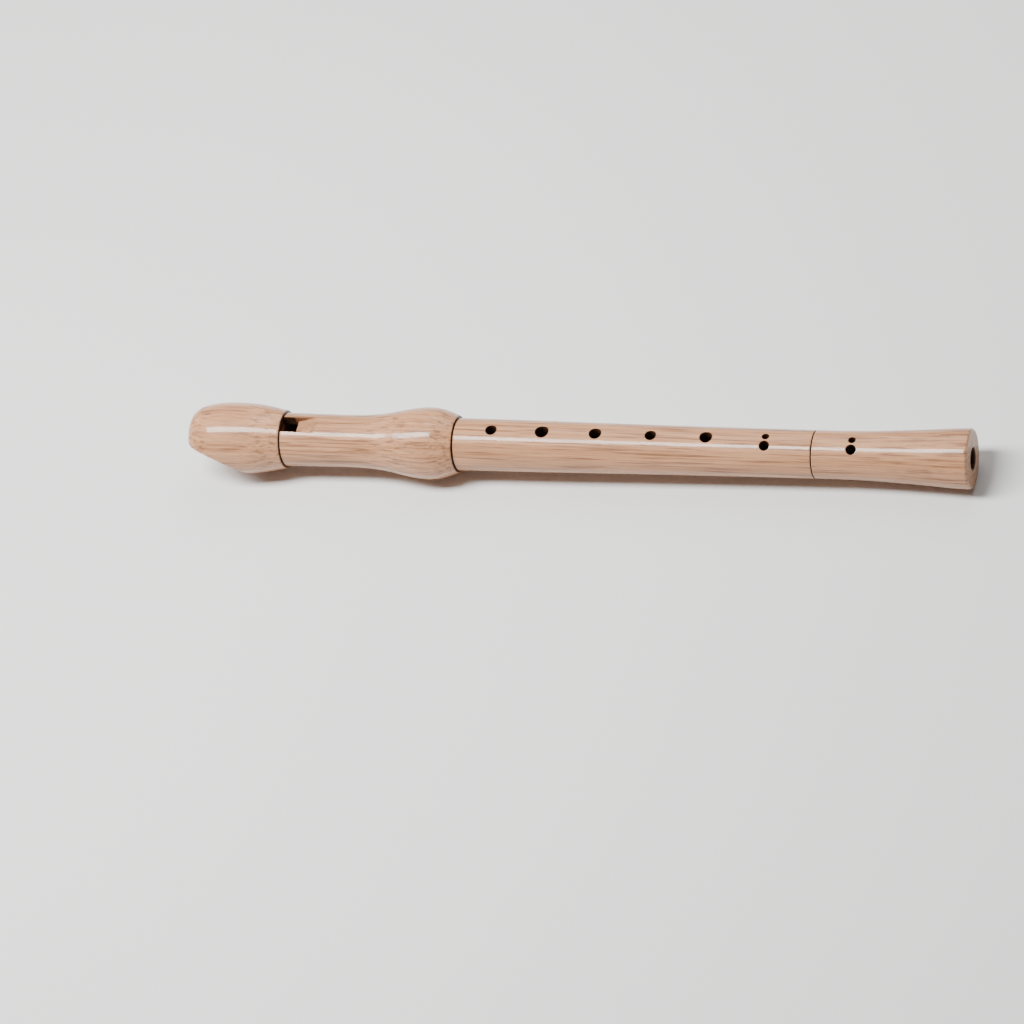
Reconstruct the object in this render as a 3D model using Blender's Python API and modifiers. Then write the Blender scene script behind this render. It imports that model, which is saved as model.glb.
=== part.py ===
"""Soprano recorder: a turned wooden duct flute in three joints, which lies with its finger holes up.

+X runs from the mouth to the foot, and +Z is up. Lengths are in millimetres, and MM scales them
when a mesh is made. A station is a distance along the bore from the mouth end, and a height is
measured from the bore's axis.
"""

import math

import bmesh
import bpy
from mathutils import Matrix, Vector

MM = 0.001

# ---- Driving dimensions ----------------------------------------------------------------------
LENGTH = 325.0
SIDES = 36
GAP = 0.3

MOUTHPIECE_END = 39.8
WINDOW_END = 45.8
RAMP_END = 55.5
HEAD_END = 113.5
FOOT_START = 262.0

BULGE_RADIUS = 14.7
BARREL_RADIUS = 10.75
MIDDLE_TOP_RADIUS = 10.6
MIDDLE_LOW_RADIUS = 9.65
BELL_RADIUS = 12.0

HEAD_BORE = 6.5
MIDDLE_BORE_TOP = 6.2
MIDDLE_BORE_LOW = 4.9
FOOT_BORE_TOP = 4.85
FOOT_BORE_END = 4.4

# Mouthpiece spigot, and the two tenons with their cork.
SPIGOT_LENGTH = 8.0
SPIGOT_RADIUS = 9.2
UPPER_TENON_LENGTH = 22.0
UPPER_SOCKET_RADIUS = 9.5
LOWER_TENON_LENGTH = 11.7
LOWER_SOCKET_RADIUS = 8.0
TENON_CLEARANCE = 0.5
CORK_THICKNESS = 1.0
CORK_END_MARGIN = 4.0
LOWER_CORK_THICKNESS = 0.8
LOWER_CORK_END_MARGIN = 2.5

# Windway, window and labium.
WINDWAY_HALF_WIDTH_MOUTH = 4.7
WINDWAY_HALF_WIDTH_EXIT = 3.7
WINDWAY_FLOOR = 6.6
WINDWAY_ROOF_MOUTH = 7.9
WINDWAY_ROOF_EXIT = 7.6
LABIUM_TOP = 7.2
LABIUM_UNDERSIDE = 6.85
UNDERCUT_LENGTH = 12.0

# The underside of the beak follows a large sanding drum that lies across the recorder.
BEAK_DRUM_RADIUS = 26.0
BEAK_DRUM_STATION = 0.5
BEAK_TIP_HEIGHT = 5.6

# Finger holes: station and radius. Paired holes lie either side of a bridge at their angle.
SINGLE_HOLES = {
    "hole_1": (129.4, 2.35),
    "hole_2": (150.7, 2.8),
    "hole_3": (172.9, 2.55),
    "hole_4": (195.8, 2.3),
    "hole_5": (218.6, 2.6),
}
THUMB_STATION = 121.5
THUMB_RADIUS = 2.6
PAIR_6_STATION = 242.8
PAIR_6_ANGLE = -4.0
PAIR_7_STATION = 278.0
PAIR_7_ANGLE = -8.0
PAIR_LARGE_RADIUS = 2.05
PAIR_SMALL_RADIUS = 1.5
PAIR_BRIDGE = 0.6

# ---- Sizes worked out from those above -------------------------------------------------------
HALF_FACET = math.pi / SIDES
AXIS_HEIGHT = BULGE_RADIUS * math.cos(HALF_FACET)
SPIGOT_START = MOUTHPIECE_END - SPIGOT_LENGTH
UPPER_TENON_START = HEAD_END - UPPER_TENON_LENGTH
LOWER_TENON_END = FOOT_START + LOWER_TENON_LENGTH
UPPER_TENON_RADIUS = UPPER_SOCKET_RADIUS - TENON_CLEARANCE
LOWER_TENON_RADIUS = LOWER_SOCKET_RADIUS - TENON_CLEARANCE

# The turned joints are pale pearwood, the block is cedar, and cork seals the tenons.
PEARWOOD = (0.60, 0.40, 0.29, 1.0)
CEDAR = (0.45, 0.22, 0.13, 1.0)
CORK = (0.50, 0.31, 0.17, 1.0)


def clear_scene():
    for obj in list(bpy.data.objects):
        bpy.data.objects.remove(obj, do_unlink=True)


def new_collection(name):
    collection = bpy.data.collections.new(name)
    bpy.context.scene.collection.children.link(collection)
    return collection


def new_material(name, colour, roughness):
    material = bpy.data.materials.new(name)
    material.use_nodes = True
    shader = material.node_tree.nodes["Principled BSDF"]
    shader.inputs["Base Color"].default_value = colour
    shader.inputs["Roughness"].default_value = roughness
    shader.inputs["Metallic"].default_value = 0.0
    return material


def add_object(name, mesh, collection):
    """Links a new object whose parent is the empty at the mouth end of the bore axis."""
    obj = bpy.data.objects.new(name, mesh)
    collection.objects.link(obj)
    obj.parent = mouth_end
    return obj


def add_cutter(name, mesh):
    cutter = add_object(name, mesh, cutters)
    cutter.hide_render = True
    cutter.display_type = "WIRE"
    return cutter


# ---- Turned shapes ---------------------------------------------------------------------------
def smooth_profile(keys):
    """A Catmull-Rom curve through (station, radius) keys, with two spans between each pair."""
    steps = 2
    points = []
    ends = [keys[0], *keys, keys[-1]]
    for before, start, end, after in zip(ends, ends[1:], ends[2:], ends[3:]):
        for step in range(steps):
            t = step / steps
            points.append(
                tuple(
                    0.5
                    * (
                        2 * start[i]
                        + (end[i] - before[i]) * t
                        + (2 * before[i] - 5 * start[i] + 4 * end[i] - after[i]) * t**2
                        + (3 * start[i] - before[i] - 3 * end[i] + after[i]) * t**3
                    )
                    for i in range(2)
                )
            )
    points.append(keys[-1])
    return points


def turned(name, outline, collection):
    """A closed outline of (station, radius) points turned about the bore axis by a Screw modifier.

    The outline runs from the foot end to the mouth end outside, and back inside.
    """
    cosine, sine = math.cos(HALF_FACET), math.sin(HALF_FACET)
    mesh = bpy.data.meshes.new(name)
    points = [(r * cosine * MM, r * sine * MM, s * MM) for s, r in outline]
    count = len(points)
    mesh.from_pydata(points, [(i, (i + 1) % count) for i in range(count)], [])
    obj = add_object(name, mesh, collection)
    obj.rotation_euler = (0, math.radians(90), 0)
    screw = obj.modifiers.new("Turn", "SCREW")
    screw.axis = "Z"
    screw.angle = math.tau
    screw.steps = screw.render_steps = SIDES
    screw.use_merge_vertices = True
    screw.merge_threshold = 0.00001
    return obj


def tube(name, outer, inner, material):
    """A turned part from its outer and inner profiles, both given from the mouth end on."""
    obj = turned(name, [*reversed(outer), *inner], recorder)
    obj.data.materials.append(material)
    return obj


# ---- Cutters ---------------------------------------------------------------------------------
def tapered_bar(stations, half_widths, bottoms, tops):
    """A bar along the bore axis whose width and heights may differ at its two ends."""
    mesh = bpy.data.meshes.new("tapered_bar")
    shape = bmesh.new()
    bmesh.ops.create_cube(shape, size=2.0)
    for vertex in shape.verts:
        far = vertex.co.x > 0
        x = stations[far]
        y = half_widths[far] * vertex.co.y
        z = (tops if vertex.co.z > 0 else bottoms)[far]
        vertex.co = Vector((x, y, z)) * MM
    shape.to_mesh(mesh)
    shape.free()
    return mesh


def round_bar(radius, length, sides):
    """A cylinder that stands on its own origin and rises along +Z."""
    mesh = bpy.data.meshes.new("round_bar")
    shape = bmesh.new()
    bmesh.ops.create_cone(
        shape,
        cap_ends=True,
        segments=sides,
        radius1=radius * MM,
        radius2=radius * MM,
        depth=length * MM,
        matrix=Matrix.Translation((0, 0, length * MM / 2)),
    )
    shape.to_mesh(mesh)
    shape.free()
    return mesh


def cut(part, cutter):
    modifier = part.modifiers.new("Cut " + cutter.name, "BOOLEAN")
    modifier.operation = "DIFFERENCE"
    modifier.object = cutter


def join(part, tool):
    modifier = part.modifiers.new("Join " + tool.name, "BOOLEAN")
    modifier.operation = "UNION"
    modifier.object = tool


def drill(part, name, station, radius, angle=0.0, offset=0.0):
    """Drills from outside towards the bore. The angle turns from +Z towards +Y, and the offset is
    sideways from the radius at that angle, so that paired holes are parallel."""
    start, length, sides = 0.5, 20.0, 20
    drill_bit = add_cutter("drill_" + name, round_bar(radius, length, sides))
    turn = Matrix.Rotation(-math.radians(angle), 4, "X")
    drill_bit.rotation_euler = turn.to_euler()
    local = turn @ Vector((0, offset, start))
    drill_bit.location = (Vector((station, 0, 0)) + local) * MM
    cut(part, drill_bit)


def drill_pair(part, name, station, angle):
    large_offset = -(PAIR_LARGE_RADIUS + PAIR_BRIDGE / 2)
    small_offset = PAIR_SMALL_RADIUS + PAIR_BRIDGE / 2
    drill(part, name + "_large", station, PAIR_LARGE_RADIUS, angle, large_offset)
    drill(part, name + "_small", station, PAIR_SMALL_RADIUS, angle, small_offset)


def beak_drum():
    """The cutter that hollows the beak's underside, with its axis along Y."""
    sides, width = 96, 40.0
    drum = add_cutter("beak_drum", round_bar(BEAK_DRUM_RADIUS, width, sides))
    drop = math.sqrt(BEAK_DRUM_RADIUS**2 - BEAK_DRUM_STATION**2)
    drum.rotation_euler = (math.radians(90), 0, 0)
    drum.location = (
        BEAK_DRUM_STATION * MM,
        width / 2 * MM,
        (BEAK_TIP_HEIGHT - drop) * MM,
    )
    return drum


def windway_channel():
    """The slot that the breath runs through, open to the bore below it."""
    reach = 1.0
    return add_cutter(
        "windway_channel",
        tapered_bar(
            (-reach, MOUTHPIECE_END + reach),
            (WINDWAY_HALF_WIDTH_MOUTH, WINDWAY_HALF_WIDTH_EXIT),
            (0, 0),
            (WINDWAY_ROOF_MOUTH, WINDWAY_ROOF_EXIT),
        ),
    )


# ---- Parts -----------------------------------------------------------------------------------
def make_mouthpiece(drum, channel):
    """The beak: a rounded turning, hollowed below, bored for the block and socketed for the barrel."""
    edge = [(0, 9.3), (0.4, 10.0), (1.3, 10.95)]
    body = [
        (3, 12.1),
        (5.5, 13.05),
        (9, 13.85),
        (14, 14.4),
        (20, 14.5),
        (26, 14.2),
        (32, 13.4),
        (36.5, 12.5),
        (39, 12.0),
    ]
    rim = [(39.55, 11.75), (MOUTHPIECE_END, 11.3)]
    outer = [*edge, *smooth_profile(body), *rim]
    socket = SPIGOT_RADIUS + GAP
    socket_floor = SPIGOT_START - GAP
    inner = [
        (0, HEAD_BORE),
        (socket_floor, HEAD_BORE),
        (socket_floor, socket),
        (MOUTHPIECE_END, socket),
    ]
    mouthpiece = tube("mouthpiece", outer, inner, pearwood)
    cut(mouthpiece, channel)
    cut(mouthpiece, drum)


def make_block(drum):
    """The fipple: a round cedar plug with a raised floor that keys it into the windway."""
    radius = HEAD_BORE - GAP
    end = MOUTHPIECE_END - GAP
    block = turned("fipple_block", [(end, 0), (end, radius), (0, radius), (0, 0)], recorder)
    block.data.materials.append(cedar)
    floor = add_cutter(
        "windway_floor",
        tapered_bar(
            (0, end),
            (WINDWAY_HALF_WIDTH_MOUTH - GAP, WINDWAY_HALF_WIDTH_EXIT - GAP),
            (1, 1),
            (WINDWAY_FLOOR, WINDWAY_FLOOR),
        ),
    )
    join(block, floor)
    cut(block, drum)


def make_barrel(channel):
    """The head joint below the mouthpiece, with the window, the labium and the upper socket."""
    shoulder = MOUTHPIECE_END + GAP
    body = [
        (shoulder, 10.9),
        (55, BARREL_RADIUS),
        (68, 10.7),
        (76, 11.0),
        (84, 12.0),
        (91, 13.4),
        (97, 14.4),
        (101.5, BULGE_RADIUS),
        (106, 14.2),
        (110, 12.9),
        (112.7, 11.7),
    ]
    outer = [
        (SPIGOT_START, SPIGOT_RADIUS),
        (shoulder, SPIGOT_RADIUS),
        *smooth_profile(body),
        (HEAD_END, 11.1),
    ]
    socket_floor = UPPER_TENON_START - GAP
    chamfer = 0.4
    inner = [
        (SPIGOT_START, HEAD_BORE),
        (socket_floor, HEAD_BORE),
        (socket_floor, UPPER_SOCKET_RADIUS),
        (HEAD_END - chamfer, UPPER_SOCKET_RADIUS),
        (HEAD_END, UPPER_SOCKET_RADIUS + chamfer),
    ]
    barrel = tube("head_barrel", outer, inner, pearwood)
    top = 20.0
    width = WINDWAY_HALF_WIDTH_EXIT
    # The window opens a little upstream of the mouthpiece's end face, which stays its edge.
    window_start = MOUTHPIECE_END - 0.2
    window = add_cutter(
        "window",
        tapered_bar((window_start, WINDOW_END), (width, width), (0, 0), (top, top)),
    )
    slope = (BARREL_RADIUS - LABIUM_TOP) / (RAMP_END - WINDOW_END)
    overlap = 1.0
    ramp = add_cutter(
        "labium_ramp",
        tapered_bar(
            (WINDOW_END - overlap, RAMP_END + overlap),
            (width, width),
            (LABIUM_TOP - slope * overlap, BARREL_RADIUS + slope * overlap),
            (top, top),
        ),
    )
    undercut = add_cutter(
        "labium_undercut",
        tapered_bar(
            (WINDOW_END - overlap, WINDOW_END + UNDERCUT_LENGTH),
            (width, width),
            (0, 0),
            (LABIUM_UNDERSIDE, HEAD_BORE - overlap),
        ),
    )
    for cutter in (channel, window, ramp, undercut):
        cut(barrel, cutter)


def make_middle():
    """The middle joint: a slim tapered tube with a corked tenon at each end."""
    top = HEAD_END + GAP
    end = FOOT_START - GAP
    upper_groove = UPPER_SOCKET_RADIUS - GAP - CORK_THICKNESS - GAP
    lower_groove = LOWER_SOCKET_RADIUS - GAP - LOWER_CORK_THICKNESS - GAP
    chamfer = 0.4
    body = [
        (top + chamfer, MIDDLE_TOP_RADIUS),
        (150, 10.4),
        (190, 10.0),
        (230, 9.75),
        (end - chamfer, MIDDLE_LOW_RADIUS),
    ]
    upper_start = UPPER_TENON_START + CORK_END_MARGIN
    upper_end = top - CORK_END_MARGIN
    lower_start = end + LOWER_CORK_END_MARGIN
    lower_end = LOWER_TENON_END - LOWER_CORK_END_MARGIN
    outer = [
        (UPPER_TENON_START, UPPER_TENON_RADIUS - chamfer),
        (UPPER_TENON_START + chamfer, UPPER_TENON_RADIUS),
        (upper_start, UPPER_TENON_RADIUS),
        (upper_start, upper_groove),
        (upper_end, upper_groove),
        (upper_end, UPPER_TENON_RADIUS),
        (top, UPPER_TENON_RADIUS),
        (top, MIDDLE_TOP_RADIUS - chamfer),
        *smooth_profile(body),
        (end, MIDDLE_LOW_RADIUS - chamfer),
        (end, LOWER_TENON_RADIUS),
        (lower_start, LOWER_TENON_RADIUS),
        (lower_start, lower_groove),
        (lower_end, lower_groove),
        (lower_end, LOWER_TENON_RADIUS),
        (LOWER_TENON_END - chamfer, LOWER_TENON_RADIUS),
        (LOWER_TENON_END, LOWER_TENON_RADIUS - chamfer),
    ]
    inner = [
        (UPPER_TENON_START, MIDDLE_BORE_TOP),
        (LOWER_TENON_END, MIDDLE_BORE_LOW),
    ]
    middle = tube("middle_joint", outer, inner, pearwood)
    for name, (station, radius) in SINGLE_HOLES.items():
        drill(middle, name, station, radius)
    drill(middle, "thumb_hole", THUMB_STATION, THUMB_RADIUS, angle=180.0)
    drill_pair(middle, "hole_6", PAIR_6_STATION, PAIR_6_ANGLE)
    make_cork("upper_tenon_cork", upper_start, upper_end, upper_groove, CORK_THICKNESS)
    make_cork("lower_tenon_cork", lower_start, lower_end, lower_groove, LOWER_CORK_THICKNESS)


def make_cork(name, groove_start, groove_end, groove_radius, thickness):
    """A cork sleeve that fills a tenon's groove and stands a little proud of the wood."""
    low, high = groove_radius + GAP, groove_radius + GAP + thickness
    start, end = groove_start + GAP, groove_end - GAP
    chamfer = 0.25
    outer = [
        (start, high - chamfer),
        (start + chamfer, high),
        (end - chamfer, high),
        (end, high - chamfer),
    ]
    tube(name, outer, [(start, low), (end, low)], cork)


def make_foot():
    """The foot joint: its socket, the last pair of holes, and a bell with a rounded lip."""
    body = [
        (FOOT_START + 0.4, MIDDLE_LOW_RADIUS),
        (272, MIDDLE_LOW_RADIUS),
        (284, 9.9),
        (296, 10.45),
        (308, 11.15),
        (317, 11.8),
        (321, BELL_RADIUS),
        (323.7, 11.7),
    ]
    outer = [
        (FOOT_START, MIDDLE_LOW_RADIUS - 0.4),
        *smooth_profile(body),
        (LENGTH, 11.0),
    ]
    socket_floor = LOWER_TENON_END + GAP
    chamfer = 0.3
    inner = [
        (FOOT_START, LOWER_SOCKET_RADIUS + chamfer),
        (FOOT_START + chamfer, LOWER_SOCKET_RADIUS),
        (socket_floor, LOWER_SOCKET_RADIUS),
        (socket_floor, FOOT_BORE_TOP),
        (LENGTH - chamfer, FOOT_BORE_END),
        (LENGTH, FOOT_BORE_END + chamfer),
    ]
    foot = tube("foot_joint", outer, inner, pearwood)
    drill_pair(foot, "hole_7", PAIR_7_STATION, PAIR_7_ANGLE)


clear_scene()
recorder = new_collection("Soprano recorder")
cutters = new_collection("Cutters")
pearwood = new_material("pearwood", PEARWOOD, 0.38)
cedar = new_material("cedar", CEDAR, 0.65)
cork = new_material("cork", CORK, 0.9)

mouth_end = bpy.data.objects.new("mouth_end", None)
mouth_end.location = (-LENGTH / 2 * MM, 0, AXIS_HEIGHT * MM)
recorder.objects.link(mouth_end)

beak_cutter = beak_drum()
channel_cutter = windway_channel()
make_mouthpiece(beak_cutter, channel_cutter)
make_block(beak_cutter)
make_barrel(channel_cutter)
make_middle()
make_foot()
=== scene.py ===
"""Soprano recorder: finished wooden joints, a cedar block and cork sleeves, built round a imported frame.

A station is a distance along the bore from the mouth end, and a height is measured from the bore's
axis. Both are in millimetres, and meshes are scaled by MM when they are made. An angle round the
bore starts at the finger holes, on top, and grows towards +Y.
"""

import math
from collections import namedtuple

import bmesh
import bpy
import numpy as np
from bpy.props import FloatProperty, FloatVectorProperty, PointerProperty
from bpy.types import Operator, Panel, PropertyGroup
from mathutils import Matrix, Vector, noise


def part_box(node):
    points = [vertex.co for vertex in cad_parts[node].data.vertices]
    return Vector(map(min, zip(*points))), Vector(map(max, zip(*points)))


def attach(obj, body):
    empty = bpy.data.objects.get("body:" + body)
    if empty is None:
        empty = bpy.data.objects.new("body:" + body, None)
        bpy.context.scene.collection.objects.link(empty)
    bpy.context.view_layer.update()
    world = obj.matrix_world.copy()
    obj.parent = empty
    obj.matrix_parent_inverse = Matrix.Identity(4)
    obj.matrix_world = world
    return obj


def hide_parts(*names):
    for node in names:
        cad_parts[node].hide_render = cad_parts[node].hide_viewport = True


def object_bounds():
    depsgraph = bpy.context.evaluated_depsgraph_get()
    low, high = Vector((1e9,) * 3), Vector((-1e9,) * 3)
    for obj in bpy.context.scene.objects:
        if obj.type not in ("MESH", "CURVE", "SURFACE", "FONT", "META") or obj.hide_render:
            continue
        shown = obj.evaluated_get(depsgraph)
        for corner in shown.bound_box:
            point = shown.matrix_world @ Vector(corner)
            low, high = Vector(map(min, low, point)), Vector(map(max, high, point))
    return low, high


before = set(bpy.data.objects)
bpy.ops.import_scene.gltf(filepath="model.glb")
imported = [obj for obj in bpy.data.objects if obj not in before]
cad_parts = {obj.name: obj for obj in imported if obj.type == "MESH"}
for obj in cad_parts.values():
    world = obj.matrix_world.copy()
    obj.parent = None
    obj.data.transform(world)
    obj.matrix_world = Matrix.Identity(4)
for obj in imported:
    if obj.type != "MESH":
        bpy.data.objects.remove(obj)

bl_info = {
    "name": "Soprano Recorder",
    "version": (1, 0, 0),
    "blender": (4, 5, 0),
    "location": "3D View > Sidebar > Recorder",
    "description": "Builds the finished joints, block and corks of a wooden soprano recorder",
    "category": "Add Mesh",
}

MM = 0.001

# ---- Places read from the frame --------------------------------------------------------------
CAD_LOW, CAD_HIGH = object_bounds()
AXIS = Vector((CAD_LOW.x, 0, (CAD_LOW.z + CAD_HIGH.z) / 2))


def span(node):
    """The stations where a node of the frame starts and ends."""
    low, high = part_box(node)
    return (low.x - CAD_LOW.x) / MM, (high.x - CAD_LOW.x) / MM


def girth(node):
    """The largest radius of a round node, across its flats."""
    low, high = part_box(node)
    return (high.y - low.y) / 2 / MM


LENGTH = (CAD_HIGH.x - CAD_LOW.x) / MM
MOUTHPIECE_END = span("mouthpiece")[1]
BLOCK_END = span("fipple_block")[1]
SPIGOT_START, HEAD_END = span("head_barrel")
MIDDLE_START, MIDDLE_END = span("middle_joint")
FOOT_START = span("foot_joint")[0]
UPPER_CORK = span("upper_tenon_cork")
LOWER_CORK = span("lower_tenon_cork")
SEAM = 0.3  # the gap that the frame leaves between neighbouring parts
FIT = 0.06  # the gap between finished parts that touch

# ---- Shapes that the frame's boxes don't give ------------------------------------------------
HEAD_BORE = 6.5
MIDDLE_BORE = (6.2, 4.9)
FOOT_BORE = (4.85, 4.4)
UPPER_SOCKET = 9.5
LOWER_SOCKET = 8.0
TENON_CLEARANCE = 0.5
CORK_THICKNESS = 1.0
LOWER_CORK_THICKNESS = 0.8
SHOULDER_RADIUS = 10.9
SLIM = 9.65
SEAM_EASE = 0.45
SPIGOT_RADIUS = 9.2

WINDOW_LENGTH = 6.0
WINDOW_HALF_WIDTH = 3.7
WINDWAY_HALF_WIDTH = (4.7, 3.7)
WINDWAY_FLOOR = 6.6
WINDWAY_ROOF = (7.9, 7.6)
LABIUM_TOP = 7.2
LABIUM_UNDERSIDE = 6.85
LABIUM_RUN = 9.7
UNDERCUT_LENGTH = 12.0

BEAK_DRUM_RADIUS = 26.0
BEAK_DRUM_STATION = 0.5
BEAK_TIP_HEIGHT = 5.6

# A group of bores is drilled side by side at one station. Each bore is (radius, sideways offset).
Drilling = namedtuple("Drilling", "station side lean bores")
PAIR = ((2.05, -2.35), (1.5, 1.8))
MIDDLE_DRILLINGS = (
    Drilling(121.5, 180, 0, ((2.6, 0.0),)),
    Drilling(129.4, 0, 0, ((2.35, 0.0),)),
    Drilling(150.7, 0, 0, ((2.8, 0.0),)),
    Drilling(172.9, 0, 0, ((2.55, 0.0),)),
    Drilling(195.8, 0, 0, ((2.3, 0.0),)),
    Drilling(218.6, 0, 0, ((2.6, 0.0),)),
    Drilling(242.8, 0, -4, PAIR),
)
FOOT_DRILLINGS = (Drilling(278.0, 0, -8, PAIR),)

# The finishes of a joint's faces, in the order of its materials.
# The last finish is oil and painted shade: it darkens holes, bores, sockets, the window and the seams
# between joints as shade would.
LACQUERED, BARE, OILED_AND_PAINTED_SHADE = 0, 1, 2


class RecorderSizes(PropertyGroup):
    hole_rim: FloatProperty(
        name="Hole rim",
        description="Radius to which the edges of the finger holes are eased",
        default=0.22 * MM,
        min=0.05 * MM,
        max=0.3 * MM,
        subtype="DISTANCE",
        unit="LENGTH",
    )
    beak_edge: FloatProperty(
        name="Beak edge",
        description="How far the edge between the beak's underside and its back is rounded",
        default=0.9 * MM,
        min=0.2 * MM,
        max=2.0 * MM,
        subtype="DISTANCE",
        unit="LENGTH",
    )
    cork_grain: FloatProperty(
        name="Cork grain",
        description="Height of the crumbs on the cork sleeves",
        default=0.04 * MM,
        min=0.0,
        max=0.05 * MM,
        subtype="DISTANCE",
        unit="LENGTH",
    )
    grain_length: FloatProperty(
        name="Grain stretch",
        description="How many times longer than wide the wood's fibre streaks are",
        default=60.0,
        min=10.0,
        max=200.0,
    )


class RecorderColours(PropertyGroup):
    pear_pale: FloatVectorProperty(
        name="Pale pearwood",
        description="Early growth between the rings",
        default=(0.62, 0.32, 0.17),
        subtype="COLOR",
        min=0,
        max=1,
    )
    pear_dark: FloatVectorProperty(
        name="Dark pearwood",
        description="Late growth in the rings",
        default=(0.40, 0.19, 0.095),
        subtype="COLOR",
        min=0,
        max=1,
    )
    pear_streak: FloatVectorProperty(
        name="Pearwood streak",
        description="Brown streaks along the fibres",
        default=(0.19, 0.085, 0.045),
        subtype="COLOR",
        min=0,
        max=1,
    )
    cedar_pale: FloatVectorProperty(
        name="Pale cedar",
        description="Early growth of the block's cedar",
        default=(0.43, 0.19, 0.10),
        subtype="COLOR",
        min=0,
        max=1,
    )
    cedar_dark: FloatVectorProperty(
        name="Dark cedar",
        description="Late growth of the block's cedar",
        default=(0.24, 0.09, 0.045),
        subtype="COLOR",
        min=0,
        max=1,
    )
    cork: FloatVectorProperty(
        name="Cork",
        description="Crumbs of the cork sleeves",
        default=(0.50, 0.31, 0.17),
        subtype="COLOR",
        min=0,
        max=1,
    )
    floor: FloatVectorProperty(
        name="Floor",
        description="The pale floor under the recorder",
        default=(0.80, 0.80, 0.79),
        subtype="COLOR",
        min=0,
        max=1,
    )


def sizes():
    """The sizes that a user may change."""
    return bpy.context.scene.recorder_sizes


def colours():
    """The colours that a user may change."""
    return bpy.context.scene.recorder_colours


def opaque(colour):
    return (*colour, 1.0)


# ---- Profiles --------------------------------------------------------------------------------
def smooth_curve(keys):
    """A function from station to radius that runs smoothly through (station, radius) keys."""
    at = np.array([s for s, _ in keys])
    value = np.array([r for _, r in keys])
    width = np.diff(at)
    rise = np.diff(value) / width
    slope = np.empty(len(keys))
    slope[1:-1] = (rise[:-1] * width[1:] + rise[1:] * width[:-1]) / (width[:-1] + width[1:])
    slope[0], slope[-1] = rise[0], rise[-1]

    def curve(station):
        i = int(np.clip(np.searchsorted(at, station) - 1, 0, len(width) - 1))
        t = (station - at[i]) / width[i]
        return float(
            value[i] * (1 + 2 * t) * (1 - t) ** 2
            + value[i + 1] * t * t * (3 - 2 * t)
            + width[i] * (slope[i] * t * (1 - t) ** 2 - slope[i + 1] * t * t * (1 - t))
        )

    return curve


def straight(start, end, radii):
    """A function from station to radius along a straight taper."""
    return lambda s: radii[0] + (radii[1] - radii[0]) * (s - start) / (end - start)


def evenly(start, end, spacing):
    """Stations from start to end, both included, at most this far apart."""
    return list(np.linspace(start, end, max(2, math.ceil((end - start) / spacing) + 1)))


def eased_corner(corner, before, after, radius, steps=4):
    """Points of an arc that rounds the corner of a profile between two neighbouring points."""
    corner, before, after = Vector(corner), Vector(before), Vector(after)
    into, out = (corner - before).normalized(), (after - corner).normalized()
    turn = into.angle(out)
    back = radius * math.tan(turn / 2)
    start, end = corner - into * back, corner + out * back
    points = []
    for step in range(steps + 1):
        t = step / steps
        points.append(tuple(start.lerp(corner, t).lerp(corner.lerp(end, t), t)))
    return points


# ---- Tubes with drilled holes ----------------------------------------------------------------
COLUMNS = 128
# Each group of holes is set in a block of the tube's surface, this many columns to either side.
BLOCK_COLUMNS = 14
BLOCK_ROWS = 16
BLOCK_HALF_LENGTH = 3.9
BORE_SPREAD = 0.45
SURFACE_RINGS = 4
RIM_RINGS = 4
WALL_RINGS = 3
BORE_RIM = 0.1


def stations_round(drillings, start, end, spacing):
    """Stations from start to end, closer together where holes are drilled."""
    stops = [start]
    for drilling in drillings:
        low, high = drilling.station - BLOCK_HALF_LENGTH, drilling.station + BLOCK_HALF_LENGTH
        stops += evenly(stops[-1], low, spacing)[1:]
        stops += list(np.linspace(low, high, BLOCK_ROWS + 1))[1:]
    return stops + evenly(stops[-1], end, spacing)[1:]


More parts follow.
